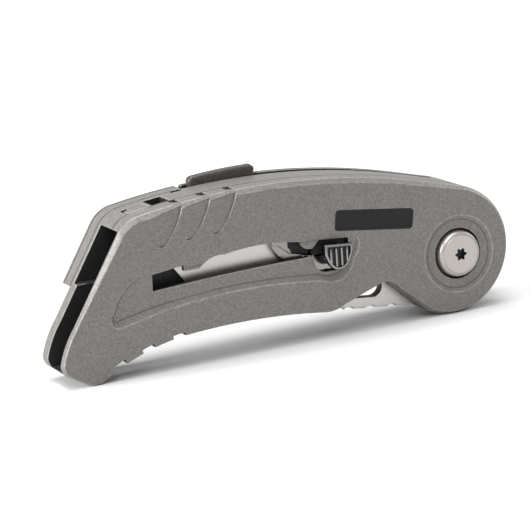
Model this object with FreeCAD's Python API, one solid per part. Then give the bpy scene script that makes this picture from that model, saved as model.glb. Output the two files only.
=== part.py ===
"""Folding and sliding pocket utility knife, modelled closed, in millimetres.

The knife stands on its lower edge. X runs along its length towards the pivot end, Y runs
through its thickness from the thumb side to the clip side, and Z is up. Shapes are drawn
about the pivot axis: x and z are measured from that axis, and depth from the thumb side's
flat face. The finished parts are then moved so that the origin is at the middle of the
bottom of the whole knife.
"""
import os
import math

import FreeCAD, Part

Vector = FreeCAD.Vector

# Depths through the thickness, from the flat face on the thumb side.
NEAR_WALL = 1.8          # wall of the near casing
NEAR_END = 5.0           # joint between near casing and frame
FRAME_FLOOR = 9.4        # floor of the hollow in the frame
MOUTH_FLOOR = 11.2       # deeper floor behind the blade mouth
FRAME_END = 12.5         # joint between frame and rear housing
GROOVE_END = 15.4        # outer side of the groove that holds the lock bar
HOUSING_END = 16.0       # joint between rear housing and back plate
PLATE_END = 17.0         # outer face of the back plate
CLIP_SHEET = 1.0         # thickness of the belt clip's sheet
CLIP_GAP = 1.3           # room under the belt clip's arm

# Walls and edges.
SIDE_WALL = 1.8
TOP_BEVEL = 1.0
END_BEVEL = 0.7
EDGE_BEVEL = 0.25

# Main pivot.
END_RADIUS = 14.75       # round pivot end
END_CENTRE = (-1.5, 1.0)
SHOULDER_DEG = 75.4      # where the shoulder's line touches the round end
DISH_RADIUS = 8.9
DISH_DEPTH = 0.45
DISH_FLOOR_RADIUS = 7.9
HEAD_RADIUS = 5.3
HEAD_BEVEL = 0.6
HEAD_TOP = -0.9
HEAD_SEAT = 2.2
HEAD_BORE_RADIUS = 5.85
SHANK_RADIUS = 2.2
BARREL_RADIUS = 3.5
RUNNING_GAP = 0.05
FIT_GAP = 0.1
BOSS_RADIUS = 9.4
WASHER_RADIUS = 6.0
WASHER_THICK = 0.4

# Liner between the two blade layers.
LINER_START = 5.05
LINER_THICK = 0.6

# Folding blade.
SPORT_START = 6.1
SPORT_THICK = 2.4
TANG_RADIUS = 8.2
SPINE_SHOULDER_DEG = -118.0
SLOT_START = 5.9         # slot that the folding blade swings out of
SLOT_END = 8.9

# Utility blade, a standard trapezoid blade, and its carriage.
BLADE_LENGTH = 61.0
BLADE_BACK = 33.4
BLADE_HEIGHT = 19.0
BLADE_THICK = 0.6
BLADE_REAR_X = -13.3
BLADE_EDGE_Z = 15.4
CARRIAGE_START = 1.95
BLADE_START = 3.9
CLAMP_END = 4.95
SPRING_SEAT = 3.4        # floor of the pocket under the button's foot

# Lock bar in the top groove.
LOCK_PIN = (-28.0, 19.0)
LOCK_PIN_RADIUS = 1.2
LOCK_STUD_RADIUS = 1.25
LOCK_STUD_DEG = 115.0
LOCK_STUD_REACH = 9.75
LOCK_BAR_START = 12.8
LOCK_BAR_END = 15.1
LOCK_REAR_X = -61.0
STOP_PIN_RADIUS = 1.5
STOP_PIN_DEG = 71.1
STOP_PIN_REACH = 10.2

# Screws, as x and z of their axes.
CASE_SCREWS = [(-88.6, -9.0), (-64.0, 18.3), (-21.5, 18.0)]
HOUSING_SCREWS = [(-62.0, 9.5), (-36.0, 7.5)]
CLIP_SCREWS = [(-13.0, 2.0), (-13.0, 9.5)]
SCREW_RADIUS = 1.0
SCREW_HEAD_RADIUS = 1.9
SCREW_BOSS_RADIUS = 2.2


# Panel under the slot.
RECESS_DEPTH = 0.85

# Finger ramps at the upper nose, and the narrow slits above them.
FINGER_RAMPS = [-67.1, -60.5, -54.2]     # x of the top of each ramp's deep side
RAMP_DEPTH = 0.62
SLIT_START = 3.5

# Belt clip's width and the depths that a cut right through spans.
CLIP_LOW = -3.0
CLIP_WIDTH = 18.0
EVERYTHING = (-1.0, 40.0)


def polar(radius, degrees):
    """Point at a radius and an angle about the pivot axis."""
    angle = math.radians(degrees)
    return (radius * math.cos(angle), radius * math.sin(angle))


def at(point, depth):
    """Point of the side view at a depth."""
    return Vector(point[0], depth, point[1])


def wire(start, steps, depth):
    """Closed outline: a step of 2 numbers is a line's end, one of 4 is an arc's middle and end."""
    edges = []
    here = start
    for step in steps:
        there = step[-2:]
        if len(step) == 4:
            edges.append(Part.Arc(at(here, depth), at(step[:2], depth), at(there, depth)).toShape())
        else:
            edges.append(Part.makeLine(at(here, depth), at(there, depth)))
        here = there
    if math.dist(here, start) > 1e-6:
        edges.append(Part.makeLine(at(here, depth), at(start, depth)))
    return Part.Wire(edges)


def plate(outline, first, last):
    """Solid with a side outline between two depths."""
    start, steps = outline
    face = Part.Face(wire(start, steps, first))
    return face.extrude(Vector(0, last - first, 0))


def polygon(points):
    """Outline with straight sides."""
    return points[0], points[1:]


def rod(point, radius, first, last):
    """Cylinder along the thickness."""
    return Part.makeCylinder(radius, last - first, at(point, first), Vector(0, 1, 0))


def block(x_range, depth_range, z_range):
    """Box from its three ranges."""
    size = [high - low for low, high in (x_range, depth_range, z_range)]
    return Part.makeBox(*size, Vector(x_range[0], depth_range[0], z_range[0]))


def obround(first, second, radius, start, end):
    """Slot with round ends between two points."""
    along = math.atan2(second[1] - first[1], second[0] - first[0])
    side = (-radius * math.sin(along), radius * math.cos(along))
    corners = [(first[0] + side[0], first[1] + side[1]), (second[0] + side[0], second[1] + side[1]),
               (second[0] - side[0], second[1] - side[1]), (first[0] - side[0], first[1] - side[1])]
    middle = plate(polygon(corners), start, end)
    return middle.fuse([rod(first, radius, start, end), rod(second, radius, start, end)]).removeSplitter()


def prism_x(profile, x_range):
    """Solid with a profile of depth and z points, between two x values."""
    points = [Vector(x_range[0], depth, z) for depth, z in profile]
    face = Part.Face(Part.makePolygon(points + points[:1]))
    return face.extrude(Vector(x_range[1] - x_range[0], 0, 0))


def bevel(shape, size, wanted):
    """Chamfer the edges whose middle passes a test of its position."""
    edges = [edge for edge in shape.Edges
             if wanted(edge.valueAt((edge.FirstParameter + edge.LastParameter) / 2))]
    return shape.makeChamfer(size, edges)


def end_point(degrees):
    """Point of the round pivot end at an angle about its own centre."""
    x, z = polar(END_RADIUS, degrees)
    return (END_CENTRE[0] + x, END_CENTRE[1] + z)


# Outline of the whole body, clockwise from the butt.
TOP_LEFT = (-76.7, 21.1)
TOP_RIGHT = (-9.0, 18.2)
TOP_CREST = (-46.0, 23.25)
BODY = ((-97.35, -8.2), [
    (-96.0, -4.6, -93.6, -0.6),           # butt edge
    (-82.2, 17.5),                        # slanted nose
    (-80.0, 19.9, *TOP_LEFT),             # rounded nose
    (*TOP_CREST, *TOP_RIGHT),             # long top curve
    end_point(SHOULDER_DEG),              # shoulder that meets the round end smoothly
    (*end_point(-10.0), *end_point(-117.0)),  # round pivot end
    (-15.6, -5.6),                        # thumb notch
    (-18.2, -3.6, -21.4, -4.0),
    (-29.6, -6.8),
    (-32.2, -7.75, -35.2, -7.7),
    (-51.5, -6.35, -67.7, -6.75),         # grip
    (-78.5, -8.9, -87.6, -12.7),
    (-90.0, -13.65, -92.8, -12.8),        # butt
    (-95.6, -11.3),
    (-97.0, -10.0, -97.35, -8.2),
])
MOUTH = polygon([(-104.0, -10.6), (-93.4, -10.6), (-78.6, 18.2), (-104.0, 18.2)])
UPPER_MOUTH = polygon([(-104.0, 6.4), (-67.0, 6.4), (-67.0, 15.8), (-76.0, 18.2), (-104.0, 18.2)])
GRIP_NOTCHES = [(-84.4, -10.2, 25.0), (-77.5, -7.9, 18.0), (-70.1, -6.4, 8.0)]


def top_z(x):
    """Height of the long top curve at an x."""
    circle = Part.Arc(at(TOP_LEFT, 0), at(TOP_CREST, 0), at(TOP_RIGHT, 0)).toShape().Curve
    return circle.Center.z + math.sqrt(circle.Radius ** 2 - (x - circle.Center.x) ** 2)


def face_point(x, z):
    """Point of the flat face's outline that goes with a point of the body's outline."""
    if x > 0.0 or (x > -9.0 and z < 0.0):
        reach = math.hypot(x, z)
        return (x * (1 - END_BEVEL / reach), z * (1 - END_BEVEL / reach))
    if z > 16.0:
        return (x + 0.3, z - TOP_BEVEL)
    if z > 0.0:
        return (x + 0.45, z - 0.3)
    if x < -85.0:
        return (x + EDGE_BEVEL, z + 0.1)
    return (x, z + EDGE_BEVEL)


def face_outline():
    """Outline of the flat face inside its bevels."""
    start, steps = BODY
    points = [[face_point(*step[i:i + 2]) for i in range(0, len(step), 2)] for step in steps]
    return face_point(*start), [sum(step, ()) for step in points]


def body_plate(first, last, inset=0.0):
    """Slice of the whole body, or of its hollow when it is inset."""
    outline = wire(*BODY, first)
    if inset:
        outline = outline.makeOffset2D(-inset)
    return Part.Face(outline).extrude(Vector(0, last - first, 0))


def grip_cuts():
    """Three shallow grip notches on the lower edge."""
    cuts = []
    for x, z, tilt in GRIP_NOTCHES:
        cut = block((x - 1.5, x + 1.5), EVERYTHING, (z - 3.0, z + 0.35))
        cut.rotate(Vector(x, 0, z), Vector(0, 1, 0), -tilt)
        cuts.append(cut)
    return cuts


def window():
    """Slot that the slide button runs in, with a wide pocket at each end."""
    return plate(((-75.3, 4.3), [
        (-75.3, 8.0), (-67.8, 8.9), (-67.8, 7.45), (-64.2, 7.45),
        (-61.9, 9.1, -58.0, 9.6), (-47.0, 10.2, -39.8, 9.3), (-38.6, 7.6, -36.6, 7.45),
        (-35.2, 9.0), (-28.0, 8.4), (-27.5, 6.0), (-29.0, 2.2, -32.4, 1.5),
        (-35.0, 2.0, -36.4, 4.6), (-37.2, 5.45, -38.4, 5.5), (-50.0, 5.4, -75.3, 4.3),
    ]), -3.0, 4.0)


def side_recess():
    """Shallow panel under the slot: deep along its lower edge, running out at the slot."""
    outer = [(-78.3, 8.0), (-82.6, 5.0, -84.9, 1.0), (-85.4, -1.3, -83.4, -2.3),
             (-58.0, 1.1, -34.5, -0.4), (-28.6, 0.2, -26.8, 3.6), (-25.3, 6.0, -26.4, 9.4)]
    inner = [(-78.6, 7.5), (-82.1, 4.8, -84.4, 1.0), (-84.8, -0.3, -83.2, -0.7),
             (-58.0, 2.5, -35.2, 1.3), (-29.4, 1.9, -28.2, 4.2), (-27.4, 6.0, -28.0, 9.2)]
    outer_wire = wire(outer[0], outer[1:], -0.01)
    inner_wire = wire(inner[0], inner[1:], RECESS_DEPTH)
    basin = Part.makeLoft([outer_wire, inner_wire], True, True)
    ramp = prism_x([(-1.0, -6.0), (RECESS_DEPTH + 0.1, -6.0), (RECESS_DEPTH - 0.05, 1.0), (-0.02, 9.6),
                    (-1.0, 9.6)], (-90.0, -20.0))
    return basin.common(ramp)


def finger_ramps():
    """Three ramped flutes at the upper nose, each with a step over the top edge and a slit."""
    cuts = []
    for x in FINGER_RAMPS:
        top = top_z(x)
        z = top - 0.75
        outline = ((x + 0.4, z + 1.9), [
            (x, z), (x - 1.65, z - 3.75, x - 3.8, z - 6.8), (x - 4.6, z - 7.6, x - 6.0, z - 7.9),
            (x - 8.5, z - 8.2), (x - 6.2, z + 1.9)])
        slope = [(x + 1.6, -0.02), (x - 5.7, -0.02), (x + 1.6, RAMP_DEPTH)]
        points = [Vector(along, depth, z + 2.0) for along, depth in slope]
        wedge = Part.Face(Part.makePolygon(points + points[:1])).extrude(Vector(-1.7, 0, -10.6))
        cuts.append(plate(outline, -0.02, 0.7).common(wedge))
        cuts.append(plate(polygon([(x - 3.0, top + 0.02), (x + 0.35, top - 0.3), (x + 0.35, top + 1.0),
                                   (x - 3.0, top + 1.0)]), -0.02, SLIT_START))
        cuts.append(block((x - 1.2, x + 0.4), (SLIT_START, NEAR_END), (top - 1.3, top + 1.0)))
    return cuts


def near_casing():
    """Painted casing half on the thumb side."""
    rim = Part.makeLoft([wire(*face_outline(), 0.0), wire(*BODY, TOP_BEVEL)], True, True)
    casing = body_plate(TOP_BEVEL, NEAR_END).fuse(rim).removeSplitter()
    hollow = body_plate(NEAR_WALL, NEAR_END + 1.0, SIDE_WALL)
    hollow = hollow.fuse(plate(MOUTH, NEAR_WALL, NEAR_END + 1.0))
    hollow = hollow.cut(rod((0, 0), BOSS_RADIUS, 0.0, NEAR_END))
    for point in CASE_SCREWS:
        hollow = hollow.cut(rod(point, SCREW_BOSS_RADIUS, 0.0, NEAR_END))
    dish = Part.makeCone(DISH_RADIUS, DISH_FLOOR_RADIUS, DISH_DEPTH, Vector(0, 0, 0), Vector(0, 1, 0))
    bores = [dish, rod((0, 0), HEAD_BORE_RADIUS, 0.0, HEAD_SEAT), window(), side_recess(),
             rod((0, 0), BARREL_RADIUS + FIT_GAP, 0.0, NEAR_END), badge_outline(0.35)]
    bores += [rod(point, SCREW_RADIUS, 2.6, NEAR_END) for point in CASE_SCREWS]
    return casing.cut([hollow] + bores + finger_ramps() + grip_cuts())


def badge_outline(depth, inset=0.0):
    """Plain tilted rounded rectangle, from the face down to a depth."""
    half_long = 9.9 - inset
    half_high = 2.35 - inset
    plate_box = block((-half_long, half_long), (-0.02, depth), (-half_high, half_high))
    upright = [edge for edge in plate_box.Edges if abs(edge.tangentAt(edge.FirstParameter).y) > 0.9]
    plate_box = plate_box.makeFillet(0.9, upright)
    plate_box.rotate(Vector(0, 0, 0), Vector(0, 1, 0), 7.6)
    plate_box.translate(Vector(-21.1, 0, 11.4))
    return plate_box


def frame():
    """Main frame: hollow for the folding blade, blade mouth and the wall behind them."""
    shape = body_plate(NEAR_END, FRAME_END)
    hollow = body_plate(NEAR_END - 1.0, FRAME_FLOOR, SIDE_WALL)
    hollow = hollow.fuse([plate(MOUTH, NEAR_END - 1.0, FRAME_FLOOR)])
    deep = plate(UPPER_MOUTH, NEAR_END - 1.0, MOUTH_FLOOR)
    kept = [rod(point, SCREW_BOSS_RADIUS, LINER_START + LINER_THICK, MOUTH_FLOOR) for point in CASE_SCREWS]
    kept.append(rod((0, 0), WASHER_RADIUS + 0.6, WASHER_FAR_END, FRAME_END))
    kept.append(rod(polar(STOP_PIN_REACH, STOP_PIN_DEG), 2.6, SLOT_END, FRAME_END))
    hollow = hollow.fuse(deep).cut(Part.makeCompound(kept))
    swing = plate(polygon([(-86.0, -24.0), (-86.0, -6.0), (-60.0, -2.0), (0.0, 0.0), (6.8, 16.3),
                           (24.0, 16.3), (24.0, -24.0)]), SLOT_START, SLOT_END)
    nose_hole = block((-71.7, -67.5), (5.6, MOUTH_FLOOR), (15.0, 30.0))
    latch_hole = block((-77.8, -72.6), (5.6, 9.4), (14.0, 30.0))
    cuts = [hollow, swing, nose_hole, latch_hole, top_notch(), stud_slot(),
            rod((0, 0), BARREL_RADIUS + FIT_GAP, 0.0, FRAME_END + 1.0),
            rod(LOCK_PIN, LOCK_PIN_RADIUS, 10.3, FRAME_END + 1.0),
            rod(polar(STOP_PIN_REACH, STOP_PIN_DEG), STOP_PIN_RADIUS, 0.0, 11.0)]
    for point in CASE_SCREWS:
        cuts.append(rod(point, SCREW_RADIUS + FIT_GAP, 0.0, FRAME_END + 1.0))
        cuts.append(rod(point, SCREW_HEAD_RADIUS + FIT_GAP, FRAME_END - 1.3, FRAME_END + 1.0))
    for point in HOUSING_SCREWS + CLIP_SCREWS:
        cuts.append(rod(point, SCREW_RADIUS, 10.2, FRAME_END + 1.0))
    return shape.cut(cuts + grip_cuts())


def top_notch():
    """Notch in the top edge where the lock bar's groove starts."""
    return block((-64.6, -61.8), (11.2, 13.0), (21.7, 40.0))


def stud_slot():
    """Slot in the frame's wall that the lock stud moves in."""
    low = polar(LOCK_STUD_REACH, LOCK_STUD_DEG)
    high = (low[0] + 0.75, low[1] + 1.8)
    return obround(low, high, LOCK_STUD_RADIUS + 0.35, SLOT_START, FRAME_END + 1.0)


def upper_region(first, last):
    """Part of the body that the rear housing and back plate cover."""
    region = plate(((-110.0, 5.6), [(-110.0, 40.0), (30.0, 40.0), (30.0, 0.0), (0.0, 0.0),
                                    (-21.0, -1.5), (-50.0, 2.2, -80.0, 4.9), (-88.6, 5.6)]), first, last)
    return region.fuse(rod((0, 0), 11.0, first, last))


def lock_groove():
    """Room for the lock bar, open at the top of the rear housing."""
    steps = [(-61.6, 40.0), (1.9, 40.0), (1.9, 9.6), (-0.4, 5.6), (-8.2, 5.6), (-10.2, 8.4),
             (-13.0, 12.2), (TOP_CREST[0], 15.9, -61.6, 15.0)]
    return plate(((-61.6, 15.0), steps), FRAME_END - 0.01, GROOVE_END)


def top_slit(first):
    """See-through slit in the top edge behind the lock pad."""
    return block((-61.6, -60.5), (first, 40.0), (20.9, 40.0))


def rear_housing():
    """Housing on the clip side that carries the lock bar."""
    shape = body_plate(FRAME_END, HOUSING_END).common(upper_region(FRAME_END, HOUSING_END))
    cuts = [lock_groove(), top_slit(FRAME_END - 0.01), top_notch(),
            rod((0, 0), BARREL_RADIUS + FIT_GAP, *EVERYTHING),
            rod(LOCK_PIN, LOCK_PIN_RADIUS, 0.0, HOUSING_END - 0.15)]
    cuts += [rod(point, SCREW_RADIUS + FIT_GAP, *EVERYTHING) for point in HOUSING_SCREWS + CLIP_SCREWS]
    return shape.cut(cuts)


def back_plate():
    """Thin cover plate on the clip side."""
    shape = body_plate(HOUSING_END, PLATE_END).common(upper_region(HOUSING_END, PLATE_END))
    cuts = [top_slit(0.0), rod((0, 0), 5.3, *EVERYTHING)]
    cuts += [rod(point, SCREW_RADIUS + FIT_GAP, *EVERYTHING) for point in HOUSING_SCREWS + CLIP_SCREWS]
    cuts += [rod(point, SCREW_HEAD_RADIUS + FIT_GAP, PLATE_END - 0.6, 30.0) for point in HOUSING_SCREWS]
    return shape.cut(cuts)


def belt_clip():
    """Spring-steel belt clip: a screwed foot, an arm clear of the plate and a flared tip."""
    inner = [(-7.5, PLATE_END), (-19.0, PLATE_END), (-24.0, PLATE_END + CLIP_GAP),
             (-68.0, PLATE_END + CLIP_GAP), (-74.0, PLATE_END + 0.25), (-80.5, PLATE_END + 1.3)]
    outer = [(x, depth + CLIP_SHEET) for x, depth in reversed(inner)]
    points = [Vector(x, depth, CLIP_LOW) for x, depth in inner + outer]
    strip = Part.Face(Part.makePolygon(points + points[:1])).extrude(Vector(0, 0, CLIP_WIDTH))
    outline = plate(((-7.5, -1.0), [(-7.5, 12.5), (-19.0, 12.5), (-26.0, 11.6), (-74.0, 13.2),
                                    (-81.0, 9.4, -74.0, 5.4), (-26.0, 3.2), (-19.0, -1.0)]), *EVERYTHING)
    clip = strip.common(outline)
    return clip.cut([rod(point, SCREW_RADIUS + FIT_GAP, *EVERYTHING) for point in CLIP_SCREWS])


def star_recess(point, radius, first, last):
    """Six-lobed driver recess."""
    lobes = [rod(point, radius * 0.72, first, last)]
    for index in range(6):
        offset = polar(radius * 0.72, 60.0 * index + 30.0)
        lobes.append(rod((point[0] + offset[0], point[1] + offset[1]), radius * 0.28, first, last))
    return lobes[0].fuse(lobes[1:])


def rear_screws(points, head_end, tip, head_height=1.1):
    """Screws driven from the clip side, as separate solids."""
    solids = []
    for point in points:
        head = rod(point, SCREW_HEAD_RADIUS, head_end - head_height, head_end)
        head = head.makeFillet(0.3, [e for e in head.Edges if e.BoundBox.YMin > head_end - 0.01])
        screw = head.fuse(rod(point, SCREW_RADIUS, tip, head_end - head_height)).removeSplitter()
        solids.append(screw.cut(star_recess(point, 0.95, head_end - 0.7, head_end + 1.0)))
    return Part.makeCompound(solids)


def pivot_screw():
    """Large star-drive screw that the folding blade turns about."""
    head = rod((0, 0), HEAD_RADIUS, HEAD_TOP, HEAD_SEAT)
    head = bevel(head, HEAD_BEVEL, lambda middle: middle.y < HEAD_TOP + 0.01)
    screw = head.fuse(rod((0, 0), SHANK_RADIUS, HEAD_SEAT, 13.5)).removeSplitter()
    return screw.cut(star_recess((0, 0), 1.45, HEAD_TOP - 1.0, HEAD_TOP + 1.3))


def pivot_barrel():
    """Threaded sleeve with a flange on the clip side."""
    sleeve = rod((0, 0), BARREL_RADIUS, HEAD_SEAT + 0.05, PLATE_END - 0.9)
    sleeve = sleeve.fuse(rod((0, 0), 5.15, PLATE_END - 0.95, PLATE_END - 0.1)).removeSplitter()
    bore = rod((0, 0), SHANK_RADIUS + 0.02, 0.0, 14.0)
    return sleeve.cut([bore, star_recess((0, 0), 1.25, PLATE_END - 1.2, PLATE_END + 1.0)])


WASHER_NEAR_START = LINER_START + LINER_THICK
WASHER_FAR_START = SPORT_START + SPORT_THICK + RUNNING_GAP
WASHER_FAR_END = WASHER_FAR_START + WASHER_THICK


def pivot_washers():
    """Bronze washers on both sides of the folding blade's tang."""
    bore = rod((0, 0), BARREL_RADIUS + 0.03, *EVERYTHING)
    near = rod((0, 0), WASHER_RADIUS, WASHER_NEAR_START, SPORT_START - RUNNING_GAP)
    far = rod((0, 0), WASHER_RADIUS, WASHER_FAR_START, WASHER_FAR_END)
    return Part.makeCompound([near.cut(bore), far.cut(bore)])


def liner():
    """Sheet between the sliding blade's layer and the folding blade's layer."""
    end = LINER_START + LINER_THICK
    sheet = body_plate(LINER_START, end, SIDE_WALL + 0.25)
    notch = plate(polygon([(-32.0, -20.0), (-30.0, 1.5), (-10.0, 1.5), (-8.0, -20.0)]), *EVERYTHING)
    notch = notch.cut(rod((0, 0), 7.5, *EVERYTHING))
    mouth = plate(polygon([(-110.0, -20.0), (-93.0, -20.0), (-80.0, 30.0), (-110.0, 30.0)]), *EVERYTHING)
    cuts = [notch, mouth, rod((0, 0), BARREL_RADIUS + FIT_GAP, *EVERYTHING),
            rod(polar(STOP_PIN_REACH, STOP_PIN_DEG), STOP_PIN_RADIUS + 0.02, *EVERYTHING)]
    cuts += [rod(point, SCREW_RADIUS + FIT_GAP, *EVERYTHING) for point in CASE_SCREWS]
    return sheet.cut(cuts)


def utility_blade():
    """Standard trapezoid blade, its long cutting edge upwards."""
    slant = (BLADE_LENGTH - BLADE_BACK) / 2
    tip_x = BLADE_REAR_X - BLADE_LENGTH
    back_z = BLADE_EDGE_Z - BLADE_HEIGHT
    end = BLADE_START + BLADE_THICK
    corners = [(tip_x, BLADE_EDGE_Z), (BLADE_REAR_X, BLADE_EDGE_Z),
               (BLADE_REAR_X - slant, back_z), (tip_x + slant, back_z)]
    blade = plate(polygon(corners), BLADE_START, end)
    middle = BLADE_REAR_X - BLADE_LENGTH / 2
    cuts = [obround((middle + side, back_z - 1.0), (middle + side, back_z + 1.9), 1.3, *EVERYTHING)
            for side in (-6.5, 6.5)]
    grind = BLADE_EDGE_Z - 3.2
    for face, inward in ((BLADE_START, 1), (end, -1)):
        cuts.append(prism_x([(face, grind), (face - inward, BLADE_EDGE_Z + 1), (face + 0.27 * inward * 1.3,
                             BLADE_EDGE_Z + 1)], (tip_x - 1, BLADE_REAR_X + 1)))
    return blade.cut(cuts)


RIVETS = [(-37.3, -1.5), (-18.6, 1.8)]
BUTTON_CENTRE = (-31.5, 5.3)
BUTTON_TOP = -2.2


def carriage():
    """Chromed slide body in front of the blade, with a pocket for the button's foot."""
    body = plate(((-43.6, 13.4), [
        (-15.6, 13.4), (-14.6, 11.0), (-14.6, 1.0), (-16.6, -0.8), (-21.6, -0.8), (-25.6, -2.4),
        (-39.2, -2.4), (-39.2, 4.2),
        (-42.9, 5.4, -45.6, 8.6), (-45.6, 10.2),
    ]), CARRIAGE_START, BLADE_START - 0.05)
    pocket = block((-36.4, -26.6), (0.0, SPRING_SEAT), (0.9, 9.9))
    relief = plate(polygon([(-50.0, 9.0), (-44.4, 9.0), (-41.4, 6.6), (-38.4, 6.2), (-38.4, 3.0),
                            (-50.0, 3.0)]), 0.0, CARRIAGE_START + 0.35)
    shade = plate(polygon([(-41.7, 12.0), (-42.0, 8.2), (-40.6, 6.5), (-37.9, 5.7), (-36.0, 5.4),
                           (-36.0, 8.2), (-38.2, 12.0)]), 0.0, CARRIAGE_START + 1.2)
    ribs = [rod(point, 0.8, *EVERYTHING) for point in RIVETS]
    return body.cut([pocket, relief, shade] + ribs)


def clamp_plate():
    """Thin plate that holds the blade against the carriage."""
    outline = polygon([(-43.0, 12.6), (-16.4, 12.6), (-15.4, 10.6), (-15.4, 1.2), (-17.0, -0.8),
                       (-21.6, -0.8), (-25.6, -2.4), (-39.2, -2.4), (-39.2, 4.0), (-43.0, 7.0)])
    body = plate(outline, BLADE_START + BLADE_THICK + 0.03, CLAMP_END)
    return body.cut([rod(point, 0.8, *EVERYTHING) for point in RIVETS])


def clamp_rivets():
    """Two rivets through the carriage and the clamp plate."""
    solids = [rod(point, 0.8, CARRIAGE_START + 0.1, CLAMP_END) for point in RIVETS]
    return Part.makeCompound(solids)


def slide_button():
    """Ribbed thumb button with a neck through the slot and a foot in the carriage."""
    x, z = BUTTON_CENTRE
    head = plate(((x - 3.4, z + 2.9), [(x + 3.4, z + 2.3), (x + 3.4, z - 0.2),
                                       (x + 0.2, z - 3.2, x - 3.4, z + 0.4)]), BUTTON_TOP, -0.7)
    head = bevel(head, 0.35, lambda middle: middle.y < BUTTON_TOP + 0.01)
    grooves = [block((x - 2.2 + 1.3 * i, x - 1.65 + 1.3 * i), (-3.0, -1.75), (z - 2.6 + 0.2 * i, z + 2.0))
               for i in range(4)]
    neck = block((x - 2.2, x + 2.2), (-0.71, CARRIAGE_START + 0.2), (5.75, 7.15))
    foot = block((x - 4.7, x + 4.7), (CARRIAGE_START + 0.15, CARRIAGE_START + 0.6), (1.1, 9.7))
    return head.cut(grooves).fuse([neck, foot]).removeSplitter()


def button_spring():
    """Arched leaf under the button's foot."""
    x, z = BUTTON_CENTRE
    low = CARRIAGE_START + 0.62
    high = SPRING_SEAT - 0.01
    outer = Part.Arc(Vector(x - 4.0, high, 0), Vector(x, low + 0.18, 0), Vector(x + 4.0, high, 0)).toShape()
    inner = Part.Arc(Vector(x + 4.0, high - 0.2, 0), Vector(x, low, 0), Vector(x - 4.0, high - 0.2, 0)).toShape()
    sides = [Part.makeLine(Vector(x + 4.0, high, 0), Vector(x + 4.0, high - 0.2, 0)),
             Part.makeLine(Vector(x - 4.0, high - 0.2, 0), Vector(x - 4.0, high, 0))]
    face = Part.Face(Part.Wire([outer, sides[0], inner, sides[1]]))
    face.translate(Vector(0, 0, z - 1.2))
    return face.extrude(Vector(0, 0, 2.6))


def sport_blade():
    """Folding blade, folded with its edge up inside the frame and its spine down."""
    end = SPORT_START + SPORT_THICK
    start = polar(TANG_RADIUS, 145.0)
    shoulder = polar(TANG_RADIUS, SPINE_SHOULDER_DEG)
    corner = polar(11.5, SPINE_SHOULDER_DEG)
    outline = (start, [
        (TANG_RADIUS, 0.0, *shoulder), corner, (-6.4, -11.3, -8.2, -11.55), (-45.0, -7.6),
        (-63.0, -4.9, -77.0, 1.8), (-67.5, 8.3, -49.0, 10.7), (-17.5, 11.3),
        (-15.6, 10.6, -15.2, 8.6), (-11.0, 6.9), start,
    ])
    blade = plate(outline, SPORT_START, end)
    grind = 2.6
    edge_half = 0.2
    cuts = [rod((0, 0), BARREL_RADIUS + RUNNING_GAP, *EVERYTHING),
            obround((-27.6, -4.7), (-19.4, -5.5), 2.35, *EVERYTHING),
            rod(polar(TANG_RADIUS + 0.5, LOCK_STUD_DEG - 180.0), LOCK_STUD_RADIUS + 0.2, *EVERYTHING)]
    for face, inward in ((SPORT_START, 1), (end, -1)):
        reach = SPORT_THICK / 2 - edge_half
        profile = [(face, grind), (face - inward, 14.0), (face + inward * reach * 1.3, 14.0)]
        cuts.append(prism_x(profile, (-90.0, -18.5)))
    for x in (-28.2, -25.8, -20.3, -14.9):        # bumps for the thumb on the spine
        spine = -7.6 - (x + 45.0) * 0.1073
        cuts.append(block((x - 1.0, x + 1.0), (0.0, 20.0), (spine - 3.0, spine + 0.42)))
    return blade.cut(cuts)


def lock_bar():
    """Rocker in the top groove that ends in an arm above the tang."""
    stud = polar(LOCK_STUD_REACH, LOCK_STUD_DEG)
    rear = top_z(LOCK_REAR_X)
    middle_x = (LOCK_REAR_X - 7.0) / 2
    outline = ((LOCK_REAR_X, rear - 0.7), [
        (middle_x, top_z(middle_x) - 0.7, -7.0, top_z(-7.0) - 0.7), (-1.2, 14.9), (-0.4, 13.2),
        (-1.4, 9.6), (stud[0] + 1.2, stud[1] - 2.6, stud[0] - 2.4, stud[1] - 1.2), (-8.4, 12.6),
        (-14.0, 14.6), (middle_x, top_z(middle_x) - 4.7, LOCK_REAR_X, rear - 4.5),
    ])
    bar = plate(outline, LOCK_BAR_START, LOCK_BAR_END)
    return bar.cut([rod(LOCK_PIN, LOCK_PIN_RADIUS + RUNNING_GAP, *EVERYTHING),
                    rod(stud, LOCK_STUD_RADIUS, *EVERYTHING)])


def lock_pad():
    """Rounded thumb pad on the rear end of the lock bar."""
    left, right, crown = -59.6, -43.4, 25.6
    middle = (left + right) / 2
    outline = ((left, top_z(left) - 0.7), [
        (left, top_z(left) + 0.55), (left + 0.15, top_z(left) + 1.45, left + 0.95, crown - 0.6),
        (middle, crown - 0.1, right - 1.9, crown),
        (right - 0.45, crown - 0.35, right, crown - 1.3), (right - 0.7, top_z(right) - 0.7),
        (middle, top_z(middle) - 0.7, left, top_z(left) - 0.7),
    ])
    return plate(outline, LOCK_BAR_START - 0.05, LOCK_BAR_END + 0.05)


def lock_spring():
    """Arched leaf spring under the rear of the lock bar."""
    left, right = -58.6, -43.0
    middle = (left + right) / 2
    low = 15.95
    outline = ((left, low), [(middle, low + 2.35, right, low + 0.1), (right, low + 0.5),
                             (middle, low + 2.75, left, low + 0.4)])
    return plate(outline, LOCK_BAR_START + 0.1, LOCK_BAR_END - 0.1)


def nose_latch():
    """Press latch in the nose that frees the sliding blade for a change."""
    body = block((-77.6, -72.8), (5.8, 9.2), (17.0, 40.0))
    body = body.common(body_plate(5.0, 10.0))
    flange = block((-79.0, -71.9), (5.8, 9.2), (16.0, 17.2))
    slot = block((-77.7, -76.4), (7.9, 9.3), (19.4, 40.0))
    return body.fuse(flange).cut(slot).removeSplitter()


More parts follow.
